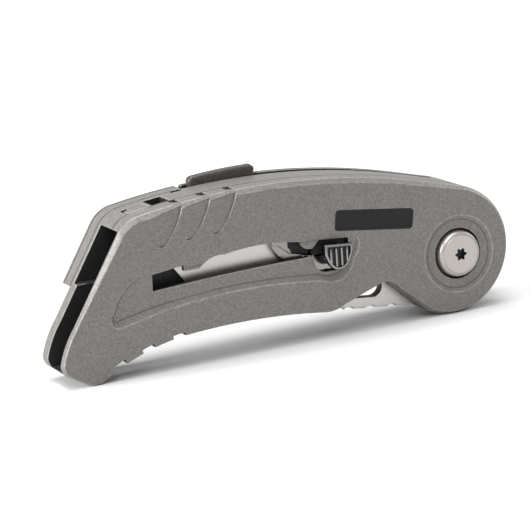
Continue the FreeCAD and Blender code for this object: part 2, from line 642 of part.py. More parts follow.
PARTS = {
    "near_casing": near_casing,
    "frame": frame,
    "rear_housing": rear_housing,
    "back_plate": back_plate,
    "belt_clip": belt_clip,
    "clip_screws": lambda: rear_screws(CLIP_SCREWS, PLATE_END + CLIP_SHEET + 1.0, 10.6, 1.0),
    "housing_screws": lambda: rear_screws(HOUSING_SCREWS, PLATE_END, 10.6, 0.6),
    "case_screws": lambda: rear_screws(CASE_SCREWS, FRAME_END - 0.1, 3.0, 1.1),
    "badge_plate": lambda: badge_outline(0.35, 0.08),
    "pivot_screw": pivot_screw,
    "pivot_barrel": pivot_barrel,
    "pivot_washers": pivot_washers,
    "liner": liner,
    "stop_pin": lambda: rod(polar(STOP_PIN_REACH, STOP_PIN_DEG), STOP_PIN_RADIUS, LINER_START, 11.0),
    "lock_pivot_pin": lambda: rod(LOCK_PIN, LOCK_PIN_RADIUS, 10.3, HOUSING_END - 0.15),
    "lock_bar": lock_bar,
    "lock_pad": lock_pad,
    "lock_stud": lambda: rod(polar(LOCK_STUD_REACH, LOCK_STUD_DEG), LOCK_STUD_RADIUS, 6.2, LOCK_BAR_END),
    "lock_spring": lock_spring,
    "sport_blade": sport_blade,
    "carriage": carriage,
    "clamp_plate": clamp_plate,
    "clamp_rivets": clamp_rivets,
    "utility_blade": utility_blade,
    "slide_button": slide_button,
    "button_spring": button_spring,
    "nose_latch": nose_latch,
}


def main():
    """Build every part, stand the knife on its origin and write the STEP files."""
    shapes = {name: make() for name, make in PARTS.items()}
    box = Part.makeCompound(list(shapes.values())).optimalBoundingBox(False, False)
    shift = Vector(-(box.XMin + box.XMax) / 2, -(box.YMin + box.YMax) / 2, -box.ZMin)
    print("shift", shift, "size", box.XLength, box.YLength, box.ZLength)
    os.makedirs("parts", exist_ok=True)
    for name, shape in shapes.items():
        shape.translate(shift)
        if not shape.isValid():
            print("invalid", name)
        shape.exportStep("parts/" + name + ".step")
        print(name, len(shape.Solids), round(shape.Volume, 1))


main()
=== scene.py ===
"""Looks of the folding and sliding pocket utility knife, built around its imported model.

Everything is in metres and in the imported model's frame: X runs along the knife towards the
pivot end, Y runs through its thickness from the thumb side to the clip side, and Z is up.
"""
import logging
import math
from collections.abc import Callable, Iterable, Sequence
from dataclasses import dataclass, field, replace
from enum import Enum
from functools import cache

import bmesh
import bpy
from bmesh.types import BMEdge, BMesh, BMFace, BMVert
from mathutils import Matrix, Vector
from mathutils.bvhtree import BVHTree


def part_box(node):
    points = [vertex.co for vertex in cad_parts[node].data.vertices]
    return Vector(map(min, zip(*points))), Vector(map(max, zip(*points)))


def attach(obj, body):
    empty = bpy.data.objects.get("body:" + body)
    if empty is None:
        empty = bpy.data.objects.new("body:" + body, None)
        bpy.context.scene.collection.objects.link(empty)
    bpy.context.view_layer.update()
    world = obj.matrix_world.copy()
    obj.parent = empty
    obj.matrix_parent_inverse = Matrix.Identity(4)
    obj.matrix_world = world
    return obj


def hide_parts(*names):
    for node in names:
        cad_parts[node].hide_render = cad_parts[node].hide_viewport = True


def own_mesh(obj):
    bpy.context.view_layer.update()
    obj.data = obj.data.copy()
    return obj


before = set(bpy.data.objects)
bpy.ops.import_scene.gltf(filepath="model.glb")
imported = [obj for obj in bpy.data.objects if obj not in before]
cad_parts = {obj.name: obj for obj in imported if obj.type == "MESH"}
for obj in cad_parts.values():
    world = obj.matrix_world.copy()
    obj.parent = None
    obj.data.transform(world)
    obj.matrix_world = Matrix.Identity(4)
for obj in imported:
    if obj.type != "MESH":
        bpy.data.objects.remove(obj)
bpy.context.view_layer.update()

Colour = tuple[float, float, float]
Tint = tuple[float, float, float, float]
Profile = Sequence[tuple[float, float]]

MM = 0.001
MERGE_GAP = 0.02 * MM
SPUN_GAP = 0.002 * MM
CREASE_ANGLE = math.radians(11.0)
SHALLOW_ANGLE = math.radians(20.0)
SHARP_ANGLE = math.radians(28.0)
SHADING_ANGLE = math.radians(35.0)
FLAT_ANGLE = math.radians(0.5)
FACING_SIDE = 0.95       # least share of a normal along the thickness on a side face
SHADING_WEIGHT = 60
PIN_STEPS = 48
GOLDEN_ANGLE = math.pi * (3.0 - math.sqrt(5.0))
TINY_AREA = 1e-12
SAMPLES = 6              # triangles of a face that are tried for what it sees
FULL_TURN = math.tau
LOBES = 6
THICKNESS_AXIS = Vector((0.0, 1.0, 0.0))
# Face attribute: 1 on rounded outer edges for rubbed paint with a painted highlight, -1 in rounded
# inner corners for painted shade.
EDGE_MARK = "edge_wear_and_painted_light"
OUTER, SHADED = 0, 1      # material indices of a piece's own finish and of its black painted shade

logging.basicConfig(level=logging.INFO, format="%(name)s: %(message)s")
log = logging.getLogger("knife")


class Body(Enum):
    """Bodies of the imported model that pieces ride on."""

    HANDLE = "handle"
    CARRIAGE = "carriage"
    BUTTON = "button"
    FOLDING_BLADE = "folding_blade"
    LOCK = "lock"
    LATCH = "latch"


class Slot(Enum):
    """Material slots of the record."""

    PAINT = "paint"
    SPRING_STEEL = "spring_steel"
    SCREW_STEEL = "screw_steel"
    SCREW_HEAD = "screw_head"
    BADGE_BLACK = "badge_black"
    BRONZE = "bronze"
    LINER_BLACK = "liner_black"
    CHROME = "chrome"
    BLADE_STEEL = "blade_steel"
    PAD_METAL = "pad_metal"


class Facing(Enum):
    """Side that a screw's head faces, as a sign along the thickness."""

    THUMB_SIDE = -1
    CLIP_SIDE = 1


# ---------------------------------------------------------------------------------- finishes


def shade(colour: Colour, factor: float) -> Tint:
    """Colour made darker or lighter.

    Args:
        colour: Linear colour.
        factor: What each channel is multiplied by.

    Returns:
        The new colour with a full alpha.
    """
    return (*(min(1.0, channel * factor) for channel in colour), 1.0)


class Recipe:
    """Node tree of one finish, with short calls that add its nodes."""

    def __init__(self, name: str) -> None:
        """Start a material.

        Args:
            name: Name of the material.
        """
        self.material = bpy.data.materials.new(name)
        self.material.use_nodes = True
        self.tree = self.material.node_tree
        self.shader = self.tree.nodes["Principled BSDF"]
        self.place = self.tree.nodes.new("ShaderNodeTexCoord").outputs["Object"]

    def add(self, kind: str, inputs: dict, **settings: object) -> bpy.types.Node:
        """Add a node.

        Args:
            kind: Type of the node without its ShaderNode prefix.
            inputs: Values or sockets for its inputs, by name or index.
            settings: Attributes to set on the node.

        Returns:
            The new node.
        """
        node = self.tree.nodes.new("ShaderNode" + kind)
        for key, value in settings.items():
            setattr(node, key, value)
        for key, value in inputs.items():
            self.feed(node.inputs[key], value)
        return node

    def feed(self, socket: bpy.types.NodeSocket, value: object) -> None:
        """Link a socket or set its value.

        Args:
            socket: Input to feed.
            value: A socket to link from, or a plain value.
        """
        if isinstance(value, bpy.types.NodeSocket):
            self.tree.links.new(value, socket)
        else:
            socket.default_value = value

    def stretched(self, sizes: Sequence[float], centre: Sequence[float] = (0, 0, 0)) -> object:
        """Coordinates in which a cell of the given sizes measures one.

        Args:
            sizes: Size of a cell along X, Y and Z.
            centre: Point that becomes the origin.

        Returns:
            The socket with the coordinates.
        """
        scale = [1.0 / size for size in sizes]
        shift = [-offset * factor for offset, factor in zip(centre, scale)]
        inputs = {"Vector": self.place, "Scale": scale, "Location": shift}
        return self.add("Mapping", inputs).outputs[0]

    def noise(self, vector: object, detail: float = 2.0, scale: float = 1.0) -> object:
        """Value of a noise pattern.

        Args:
            vector: Socket with the coordinates.
            detail: Octaves of the noise.
            scale: Cells in a unit of the coordinates.

        Returns:
            The socket with the value.
        """
        inputs = {"Vector": vector, "Detail": detail, "Scale": scale}
        return self.add("TexNoise", inputs, normalize=True).outputs[0]

    def span(self, value: object, source: tuple[float, float],
             target: tuple[float, float]) -> object:
        """Value carried from one range to another and kept inside it.

        Args:
            value: Socket with the value.
            source: Range that it comes in.
            target: Range that it leaves in.

        Returns:
            The socket with the new value.
        """
        inputs = {"Value": value, "From Min": source[0], "From Max": source[1],
                  "To Min": target[0], "To Max": target[1]}
        return self.add("MapRange", inputs, clamp=True).outputs[0]

    def blend(self, factor: object, first: object, second: object) -> object:
        """Mix of two colours.

        Args:
            factor: Socket or number, from the first colour to the second.
            first: Colour or socket.
            second: Colour or socket.

        Returns:
            The socket with the mix.
        """
        node = self.add("Mix", {}, data_type="RGBA")
        self.feed(node.inputs[0], factor)
        self.feed(node.inputs[6], first)
        self.feed(node.inputs[7], second)
        return node.outputs[2]

    def relief(self, height: object, distance: float, strength: float = 1.0) -> None:
        """Bump on the shader, above any that it has already.

        Args:
            height: Socket with the height from 0 to 1.
            distance: Height of 1 in metres.
            strength: Strength of the bump.
        """
        inputs = {"Height": height, "Distance": distance, "Strength": strength}
        normal = self.shader.inputs["Normal"]
        if normal.links:
            inputs["Normal"] = normal.links[0].from_socket
        self.feed(normal, self.add("Bump", inputs).outputs[0])


@dataclass(frozen=True)
class Finish:
    """Finish with an even fine grain.

    Sizes are in millimetres. The grain darkens and lightens the base colour by its contrast,
    and moves the roughness and the height of the surface.
    """

    name: str
    base: Colour
    metallic: float
    roughness: float
    grain: tuple[float, float, float] = (0.3, 0.3, 0.3)
    contrast: float = 0.08
    polish_change: float = 0.05
    height: float = 0.004
    specular: float = 0.5
    wear_and_highlight: Colour | None = None
    grain_window: tuple[float, float] = (0.3, 0.7)
    polish_window: tuple[float, float] = (0.25, 0.75)
    broad_patch: float = 9.0
    broad_window: tuple[float, float] = (0.35, 0.65)
    broad_share: float = 0.12
    broad_shade: float = 0.8
    # Rounded outer edges get patchy rubbing with a painted highlight; rounded inner corners get
    # painted shade.
    wear_and_highlight_patch: float = 0.9
    wear_and_highlight_window: tuple[float, float] = (0.38, 0.62)
    wear_and_highlight_share: tuple[float, float] = (0.25, 0.85)
    crease_shade_share: float = 0.55
    crease_shade_factor: float = 0.3

    def pattern(self, recipe: Recipe) -> object:
        """Grain pattern from 0 to 1."""
        return recipe.noise(recipe.stretched([size * MM for size in self.grain]), detail=3.0)

    def make(self) -> bpy.types.Material:
        """Build the material.

        Returns:
            The material with its node tree.
        """
        recipe = Recipe(self.name)
        shader = recipe.shader
        grain = self.pattern(recipe)
        broad = recipe.noise(recipe.stretched([self.broad_patch * MM] * 3))
        contrast = recipe.span(grain, self.grain_window, (0.0, 1.0))
        dark, light = shade(self.base, 1 - self.contrast), shade(self.base, 1 + self.contrast)
        colour = recipe.blend(contrast, dark, light)
        broad_amount = recipe.span(broad, self.broad_window, (0.0, self.broad_share))
        colour = recipe.blend(broad_amount, colour, shade(self.base, self.broad_shade))
        colour = self.extra(recipe, colour)
        # Lighter rounded outer edges stand for rubbing and a painted highlight; darker rounded inner
        # corners are painted shade.
        if self.wear_and_highlight:
            edge = recipe.add("Attribute", {}, attribute_name=EDGE_MARK).outputs["Fac"]
            patches = recipe.noise(recipe.stretched([self.wear_and_highlight_patch * MM] * 3))
            patchy = recipe.span(patches, self.wear_and_highlight_window, self.wear_and_highlight_share)
            amount = recipe.add("Math", {0: edge, 1: patchy}, operation="MULTIPLY").outputs[0]
            colour = recipe.blend(amount, colour, (*self.wear_and_highlight, 1.0))
            # Painted shade in the rounded inner corners, where the edge mark is negative.
            crease_shade_amount = recipe.span(edge, (-1.0, 0.0), (self.crease_shade_share, 0.0))
            colour = recipe.blend(crease_shade_amount, colour, shade(self.base, self.crease_shade_factor))
        recipe.feed(shader.inputs["Base Color"], colour)
        low, high = self.roughness - self.polish_change, self.roughness + self.polish_change
        recipe.feed(shader.inputs["Roughness"], recipe.span(grain, self.polish_window, (low, high)))
        shader.inputs["Metallic"].default_value = self.metallic
        shader.inputs["Specular IOR Level"].default_value = self.specular
        recipe.relief(grain, self.height * MM)
        return recipe.material

    def extra(self, recipe: Recipe, colour: object) -> object:
        """Further colour detail, which a plain grain has none of."""
        return colour


@dataclass(frozen=True)
class FlakePaint(Finish):
    """Powder coat: fine metallic flakes over a faint warm and cool mottle."""

    flake: float = 0.24
    flake_change: float = 0.5
    warm: Colour = (1.07, 0.99, 0.93)
    cool: Colour = (0.95, 1.0, 1.06)
    mottle: float = 0.75
    mottle_window: tuple[float, float] = (0.4, 0.6)
    mottle_share: float = 0.5
    spark_height: float = 0.6
    spark_strength: float = 0.6
    spark_share: float = 0.45

    def extra(self, recipe: Recipe, colour: object) -> object:
        """Mottle and flakes over the grain."""
        tints = [shade(tuple(map(float.__mul__, self.base, tint)), 1.0)
                 for tint in (self.warm, self.cool)]
        patches = recipe.noise(recipe.stretched([self.mottle * MM] * 3), detail=2.0)
        mottle = recipe.blend(recipe.span(patches, self.mottle_window, (0.0, 1.0)), *tints)
        colour = recipe.blend(self.mottle_share, colour, mottle)
        place = recipe.stretched([self.flake * MM] * 3)
        cells = recipe.add("TexVoronoi", {"Vector": place, "Scale": 1.0})
        spark = recipe.add("SeparateColor", {0: cells.outputs["Color"]}).outputs[0]
        recipe.relief(spark, self.height * MM * self.spark_height, self.spark_strength)
        low, high = shade(self.base, 1 - self.flake_change), shade(self.base, 1 + self.flake_change)
        return recipe.blend(self.spark_share, colour, recipe.blend(spark, low, high))


@dataclass(frozen=True)
class TurnedSteel(Finish):
    """Steel turned on a lathe: fine rings about an axis along the thickness."""

    axis: tuple[float, float] = (0.0, 0.0)
    ring: float = 0.12
    ring_period: float = 3.14
    unevenness: float = 0.25
    fine_scale: float = 9.0

    def pattern(self, recipe: Recipe) -> object:
        """Rings about the axis, a little uneven."""
        place = recipe.stretched([MM] * 3, (self.axis[0], 0.0, self.axis[1]))
        inputs = {"Vector": place, "Scale": 1.0 / (self.ring * self.ring_period),
                  "Distortion": self.unevenness, "Detail": 2.0, "Detail Scale": 2.0}
        rings = recipe.add("TexWave", inputs, wave_type="RINGS", rings_direction="Y").outputs[1]
        fine = recipe.noise(place, detail=2.0, scale=self.fine_scale)
        inputs = {0: rings, 1: fine, 2: self.unevenness}
        return recipe.add("Math", inputs, operation="MULTIPLY_ADD").outputs[0]


@dataclass(frozen=True)
class Mottled(Finish):
    """Worn coating: patches of a lighter and a darker tone over the grain."""

    light: Colour = (0.3, 0.25, 0.22)
    patch: float = 0.7
    patch_window: tuple[float, float] = (0.45, 0.62)
    patch_share: float = 0.8

    def extra(self, recipe: Recipe, colour: object) -> object:
        """Patches of the lighter tone."""
        patches = recipe.noise(recipe.stretched([self.patch * MM] * 3), detail=4.0)
        amount = recipe.span(patches, self.patch_window, (0.0, self.patch_share))
        return recipe.blend(amount, colour, (*self.light, 1.0))


# Finishes with a lighter edge colour show rubbing and a painted highlight on rounded outer edges,
# and painted shade in rounded inner corners.
PAINT = FlakePaint("warm_grey_powder_coat", (0.167, 0.161, 0.152), 0.3, 0.47,
                   grain=(0.36, 0.36, 0.36), contrast=0.5, height=0.01, wear_and_highlight=(0.3, 0.293, 0.28))
# Near-black painted shade for recesses, holes and seams that see little light.
SHADE_BLACK = Finish("painted_shade_black", (0.012, 0.012, 0.012), 0.1, 0.55,
                      grain=(0.5, 0.5, 0.5), contrast=0.3)
SPRING_STEEL = Finish("brushed_spring_steel", (0.42, 0.42, 0.41), 0.9, 0.34,
                      grain=(4.0, 0.09, 0.09), contrast=0.16, polish_change=0.1, height=0.003,
                      wear_and_highlight=(0.6, 0.6, 0.58))
PLATED_STEEL = Finish("plated_screw_steel", (0.5, 0.49, 0.475), 0.95, 0.27,
                      grain=(0.15, 0.15, 0.15), contrast=0.1, height=0.002)
BLADE_STEEL = Finish("ground_blade_steel", (0.57, 0.548, 0.53), 0.92, 0.34, grain=(0.14, 0.6, 3.0),
                     contrast=0.05, polish_change=0.03, height=0.0008, wear_and_highlight=(0.65, 0.64, 0.62))
SATIN_STEEL = Finish("satin_carriage_steel", (0.27, 0.25, 0.24), 0.95, 0.24, grain=(2.6, 0.4, 0.12),
                     contrast=0.08, polish_change=0.05, height=0.002, wear_and_highlight=(0.55, 0.53, 0.51))
CHROME = Finish("polished_chrome", (0.27, 0.262, 0.255), 1.0, 0.13, grain=(1.6, 1.6, 1.6),
                contrast=0.05, polish_change=0.04, height=0.004)
BADGE_BLACK = Finish("satin_black_enamel", (0.008, 0.0083, 0.009), 0.0, 0.62, grain=(0.3, 0.3, 0.3),
                     contrast=0.35, height=0.004, specular=0.3, wear_and_highlight=(0.045, 0.047, 0.05))
TURNED_HEAD = TurnedSteel("turned_screw_head", (0.46, 0.43, 0.413), 0.8, 0.36, contrast=0.04,
                          polish_change=0.04, height=0.0015)
BRONZE = Finish("plain_bronze", (0.55, 0.38, 0.2), 0.95, 0.38, grain=(0.5, 0.5, 0.5), contrast=0.15)
LINER_BLACK = Finish("blackened_steel", (0.022, 0.021, 0.021), 0.5, 0.5, grain=(0.3, 0.3, 0.3),
                     contrast=0.3)
PAD_METAL = Mottled("brown_grey_pad_coating", (0.06, 0.052, 0.046), 0.4, 0.42,
                    grain=(0.3, 0.3, 0.3), contrast=0.16, polish_change=0.1, height=0.008,
                    light=(0.09, 0.078, 0.07), patch=0.5)


@cache
def material_of(finish: Finish) -> bpy.types.Material:
    """Material of a finish, made at the first call."""
    return finish.make()


# ------------------------------------------------------------------------------ mesh building


@dataclass(frozen=True)
class SolidBox:
    """Lowest and highest corner of one solid."""

    low: Vector
    high: Vector

    @property
    def centre(self) -> Vector:
        """Middle of the box."""
        return (self.low + self.high) / 2

    @property
    def radius(self) -> float:
        """Half its length along X, which is the radius of a round solid."""
        return (self.high.x - self.low.x) / 2


def node_box(node: str) -> SolidBox:
    """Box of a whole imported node."""
    return SolidBox(*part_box(node))


def merged_copy(node: str) -> BMesh:
    """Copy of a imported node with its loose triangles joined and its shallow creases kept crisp.

    Args:
        node: Name of the node.

    Returns:
        A closed mesh.
    """
    bm = bmesh.new()
    bm.from_mesh(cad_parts[node].data)
    bmesh.ops.remove_doubles(bm, verts=bm.verts[:], dist=MERGE_GAP)
    flat = [edge for edge in bm.edges if edge.is_manifold and edge.calc_face_angle() < FLAT_ANGLE]
    bmesh.ops.beautify_fill(bm, faces=bm.faces[:], edges=flat, method="ANGLE")
    for edge in sharp_edges(bm, CREASE_ANGLE):
        edge.smooth = False
    return bm


def solid_boxes(node: str) -> list[SolidBox]:
    """Boxes of a node's separate solids, from low X to high X.

    Args:
        node: Name of the node.

    Returns:
        One box for each solid.
    """
    bm = merged_copy(node)
    left = set(bm.verts)
    boxes = []
    while left:
        group, fresh = set(), {left.pop()}
        while fresh:
            vert = fresh.pop()
            group.add(vert)
            fresh |= {edge.other_vert(vert) for edge in vert.link_edges} - group
        left -= group
        corners = [[function(vert.co[axis] for vert in group) for axis in range(3)]
                   for function in (min, max)]
        boxes.append(SolidBox(Vector(corners[0]), Vector(corners[1])))
    bm.free()
    return sorted(boxes, key=lambda box: tuple(box.low))


def sharp_edges(bm: BMesh, angle: float = SHARP_ANGLE) -> list[BMEdge]:
    """Edges whose faces meet at more than an angle.

    Args:
        bm: Mesh to look through.
        angle: Smallest angle that counts.

    Returns:
        The edges.
    """
    return [edge for edge in bm.edges if edge.is_manifold and edge.calc_face_angle() > angle]


def round_edges(bm: BMesh, edges: Sequence[BMEdge], width: float, segments: int = 2) -> None:
    """Round edges and mark the new faces for rubbing with a painted highlight, or for painted shade
    where they fill a corner.

    Args:
        bm: Mesh to change.
        edges: Edges to round.
        width: Width of the rounding in metres.
        segments: Faces across it.
    """
    layer = bm.faces.layers.float.get(EDGE_MARK) or bm.faces.layers.float.new(EDGE_MARK)
    result = bmesh.ops.bevel(bm, geom=list(edges), offset=width, offset_type="OFFSET",
                             segments=segments, profile=0.5, affect="EDGES", clamp_overlap=False,
                             material=-1, loop_slide=False)
    for face in result["faces"]:
        bends = [edge.calc_face_angle_signed(0.0) * edge.calc_length() for edge in face.edges]
        # 1 marks an outer edge for rubbing and painted highlight, -1 an inner corner for painted
        # shade.
        face[layer] = 1.0 if sum(bends) > 0 else -1.0
        for edge in face.edges:
            edge.smooth = True


def rejoin_flat(bm: BMesh) -> None:
    """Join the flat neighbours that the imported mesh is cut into, up to creases and other finishes.

    Args:
        bm: Mesh to change.
    """
    bmesh.ops.dissolve_limit(bm, angle_limit=FLAT_ANGLE, use_dissolve_boundaries=False,
                             verts=bm.verts[:], edges=bm.edges[:], delimit={"MATERIAL", "SHARP"})


def spun(profile: Profile, centre: Vector, steps: int = 72) -> BMesh:
    """Turn a profile about an axis along the thickness.

    Args:
        profile: Radius and Y of each point, from the open or closed start to the end.
        centre: Point on the axis.
        steps: Faces round the circle.

    Returns:
        The turned mesh.
    """
    bm = bmesh.new()
    verts = [bm.verts.new((centre.x + radius, y, centre.z)) for radius, y in profile]
    edges = [bm.edges.new(pair) for pair in zip(verts, verts[1:])]
    bmesh.ops.spin(bm, geom=verts + edges, cent=centre, axis=THICKNESS_AXIS, dvec=(0, 0, 0),
                   angle=FULL_TURN, steps=steps, use_merge=True, use_duplicate=False)
    bmesh.ops.remove_doubles(bm, verts=bm.verts[:], dist=SPUN_GAP)
    return bm


def open_rim(bm: BMesh) -> list[BMEdge]:
    """Edges with a face on one side only."""
    return [edge for edge in bm.edges if edge.is_boundary]


def join(meshes: Sequence[BMesh]) -> BMesh:
    """Several meshes as one.

    Args:
        meshes: Meshes to join, which are freed.

    Returns:
        The joined mesh.
    """
    whole = bmesh.new()
    for part in meshes:
        passing = bpy.data.meshes.new("passing")
        part.to_mesh(passing)
        part.free()
        whole.from_mesh(passing)
        bpy.data.meshes.remove(passing)
    return whole


def pin(box: SolidBox, chamfer: float) -> BMesh:
    """Round pin along the thickness with chamfered ends.

    Args:
        box: Box of the pin's solid.
        chamfer: Size of the chamfers in metres.

    Returns:
        The closed mesh.
    """
    radius = box.radius
    low, high = box.low.y, box.high.y
    profile = [(0.0, low), (radius - chamfer, low), (radius, low + chamfer),
               (radius, high - chamfer), (radius - chamfer, high), (0.0, high)]
    return spun(profile, Vector((box.centre.x, 0.0, box.centre.z)), steps=PIN_STEPS)


def bar(middle: Vector, size: Sequence[float], rounding: float) -> BMesh:
    """Rounded bar.

    Args:
        middle: Its middle.
        size: Its length along X, Y and Z.
        rounding: Width of its rounded edges.

    Returns:
        The closed mesh.
    """
    bm = bmesh.new()
    bmesh.ops.create_cube(bm, size=1.0)
    bmesh.ops.scale(bm, vec=size, verts=bm.verts[:])
    bmesh.ops.translate(bm, vec=middle, verts=bm.verts[:])
    round_edges(bm, bm.edges[:], rounding)
    return bm


def finish_piece(name: str, bm: BMesh, finish: Finish, body: Body, nodes: Iterable[str],
                 recalculate: bool = True, shade_finish: Finish = SHADE_BLACK) -> bpy.types.Object:
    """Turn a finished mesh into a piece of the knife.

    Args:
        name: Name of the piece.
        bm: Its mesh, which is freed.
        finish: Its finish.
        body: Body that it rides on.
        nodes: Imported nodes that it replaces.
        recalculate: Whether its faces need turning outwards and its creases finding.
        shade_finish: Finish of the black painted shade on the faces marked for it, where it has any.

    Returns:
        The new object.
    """
    has_painted_shade = any(face.material_index == SHADED for face in bm.faces)
    if recalculate:
        bmesh.ops.recalc_face_normals(bm, faces=bm.faces[:])
    mesh = bpy.data.meshes.new(name)
    bm.to_mesh(mesh)
    bm.free()
    mesh.shade_smooth()
    if recalculate:
        mesh.set_sharp_from_angle(angle=SHADING_ANGLE)
    mesh.materials.append(material_of(finish))
    # A second material slot holds the black painted shade.
    if has_painted_shade:
        mesh.materials.append(material_of(shade_finish))
    piece = bpy.data.objects.new(name, mesh)
    bpy.context.scene.collection.objects.link(piece)
    weighted = piece.modifiers.new("even_shading", "WEIGHTED_NORMAL")
    weighted.keep_sharp = True
    weighted.weight = SHADING_WEIGHT
    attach(piece, body.value)
    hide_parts(*nodes)
    log.info("%s: %d faces, rides on %s", name, len(mesh.polygons), body.value)
    return piece


def soft_copy(node: str, width: float, finish: Finish, body: Body, segments: int = 2,
              keep: Callable[[BMEdge], bool] | None = None) -> bpy.types.Object:
    """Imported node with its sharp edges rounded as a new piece.

    Args:
        node: Name of the node.
        width: Width of the rounding in millimetres.
        finish: Finish of the piece.
        body: Body that it rides on.
        segments: Faces across a rounding.
        keep: Test of the edges that are rounded, or None for all.

    Returns:
        The new object.
    """
    bm = merged_copy(node)
    edges = [edge for edge in sharp_edges(bm) if keep is None or keep(edge)]
    round_edges(bm, edges, width * MM, segments)
    rejoin_flat(bm)
    return finish_piece(node + "_piece", bm, finish, body, [node], recalculate=False)


# ------------------------------------------------------------------------------ sub-assemblies


class OpenView:
    """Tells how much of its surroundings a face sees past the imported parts."""

    def __init__(self, rays: int = 40, reach: float = 60 * MM, lift: float = 0.08 * MM) -> None:
        """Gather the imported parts.

        Args:
            rays: Directions tried at each point.
            reach: Distance past which nothing is in the way.
            lift: Height above the face that the rays start at.
        """
        whole = bmesh.new()
        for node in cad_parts.values():
            whole.from_mesh(node.data)
        self.tree = BVHTree.FromBMesh(whole)
        whole.free()
        self.reach = reach
        self.lift = lift
        self.directions = [self.direction(index, rays) for index in range(rays)]

    def direction(self, index: int, count: int) -> Vector:
        """One direction of an even spiral about +Z, denser near the axis."""
        radius = math.sqrt((index + 0.5) / count)
        turn = index * GOLDEN_ANGLE
        height = math.sqrt(1.0 - radius * radius)
        return Vector((radius * math.cos(turn), radius * math.sin(turn), height))

    def at_point(self, point: Vector, normal: Vector) -> float:
        """Share of the directions that leave a point freely.

        Args:
            point: Point on a face.
            normal: Normal of the face.

        Returns:
            A share from 0 to 1.
        """
        turn = Vector((0.0, 0.0, 1.0)).rotation_difference(normal)
        start = point + normal * self.lift
        clear = [self.tree.ray_cast(start, turn @ way, self.reach)[0] is None
                 for way in self.directions]
        return sum(clear) / len(clear)

    def of_face(self, triangles: Sequence[tuple[float, Vector]], normal: Vector) -> float:
        """Openness of a face from its largest triangles.

        Args:
            triangles: Area and centre of each of its triangles.
            normal: Normal of the face.

        Returns:
            The share averaged over the triangles, or the highest where the face looks sideways,
            because such a wide face can be partly covered.
        """
        chosen = sorted(triangles, key=lambda item: -item[0])[:SAMPLES]
        shares = [self.at_point(centre, normal) for _, centre in chosen]
        if abs(normal.y) > FACING_SIDE:
            return max(shares)
        total = sum(area for area, _ in chosen)
        return sum(area * share for (area, _), share in zip(chosen, shares)) / total


@dataclass
class Casings:
    """Painted casings, frame, housing and back plate, and the liner between them.

    The powder coat covers what can be seen from outside; recesses that see little of the room and
    the seam lines between the casings get black painted shade.
    """

    rim: float = 0.18
    seam_line: float = 0.12
    sheet_rim: float = 0.12
    shallow: float = 0.75
    badge_room: float = 0.4
    open_share: float = 0.47
    painted: tuple[str, ...] = ("near_casing", "frame", "rear_housing", "back_plate")

    def build(self) -> None:
        """Build the casings."""
        view = OpenView()
        seams = [node_box(node).high.y for node in ("near_casing", "frame", "rear_housing")]
        for node in self.painted:
            bm = merged_copy(node)
            edges = [edge for edge in sharp_edges(bm, SHALLOW_ANGLE) if not self.under_badge(edge)]
            round_edges(bm, edges, self.rim * MM)
            rejoin_flat(bm)
            self.paint_shade(bm, view, seams)
            finish_piece(node + "_shell", bm, PAINT, Body.HANDLE, [node],
                         recalculate=False)
        soft_copy("liner", self.sheet_rim, LINER_BLACK, Body.HANDLE)

    def under_badge(self, edge: BMEdge) -> bool:
        """Whether an edge belongs to the hole that the badge fills."""
        badge = node_box("badge_plate")
        room = self.badge_room * MM
        return all(badge.low.x - room < vert.co.x < badge.high.x + room
                   and badge.low.z - room < vert.co.z < badge.high.z + room for vert in edge.verts)

    def paint_shade(self, bm: BMesh, view: OpenView, seams: Sequence[float]) -> None:
        """Give black painted shade to the recesses that see little of their surroundings and to the
        lines between the casings.

        Args:
            bm: Mesh of a casing.
            view: What each face sees.
            seams: Planes between the casings, as Y.
        """
        skin = node_box("near_casing").low.y + self.shallow * MM
        triangles: dict[BMFace, list[tuple[float, Vector]]] = {face: [] for face in bm.faces}
        for loops in bm.calc_loop_triangles():
            first, second, third = (loop.vert.co for loop in loops)
            area = (second - first).cross(third - first).length / 2
            triangles[loops[0].face].append((area + TINY_AREA, (first + second + third) / 3))
        for face, parts in triangles.items():
            centre = face.calc_center_median()
            on_seam = any(abs(centre.y - seam) < self.seam_line * MM for seam in seams)
            flat = abs(face.normal.y) > FACING_SIDE
            deep = centre.y > skin and not (on_seam and flat)
            # Faces deep in that see little of the room get black painted shade, and so do the
            # rounded edges along the seams.
            in_shade = deep and view.of_face(parts, face.normal) < self.open_share
            if in_shade or (on_seam and not flat):
                face.material_index = SHADED


@dataclass
class Badge:
    """Plain black badge with a sunk panel inside a narrow border."""

    border: float = 0.45
    sunk: float = 0.1
    rim: float = 0.08

    def build(self) -> None:
        """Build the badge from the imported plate."""
        bm = merged_copy("badge_plate")
        rejoin_flat(bm)
        front = min(bm.faces, key=lambda face: face.normal.y * face.calc_area())
        round_edges(bm, front.edges[:], self.rim * MM)
        front = min(bm.faces, key=lambda face: face.normal.y * face.calc_area())
        bmesh.ops.inset_region(bm, faces=[front], thickness=self.border * MM, depth=0.0,
                               use_even_offset=True)
        bmesh.ops.inset_region(bm, faces=[front], thickness=self.sunk * MM, depth=-self.sunk * MM,
                               use_even_offset=True)
        finish_piece("badge", bm, BADGE_BLACK, Body.HANDLE, ["badge_plate"])


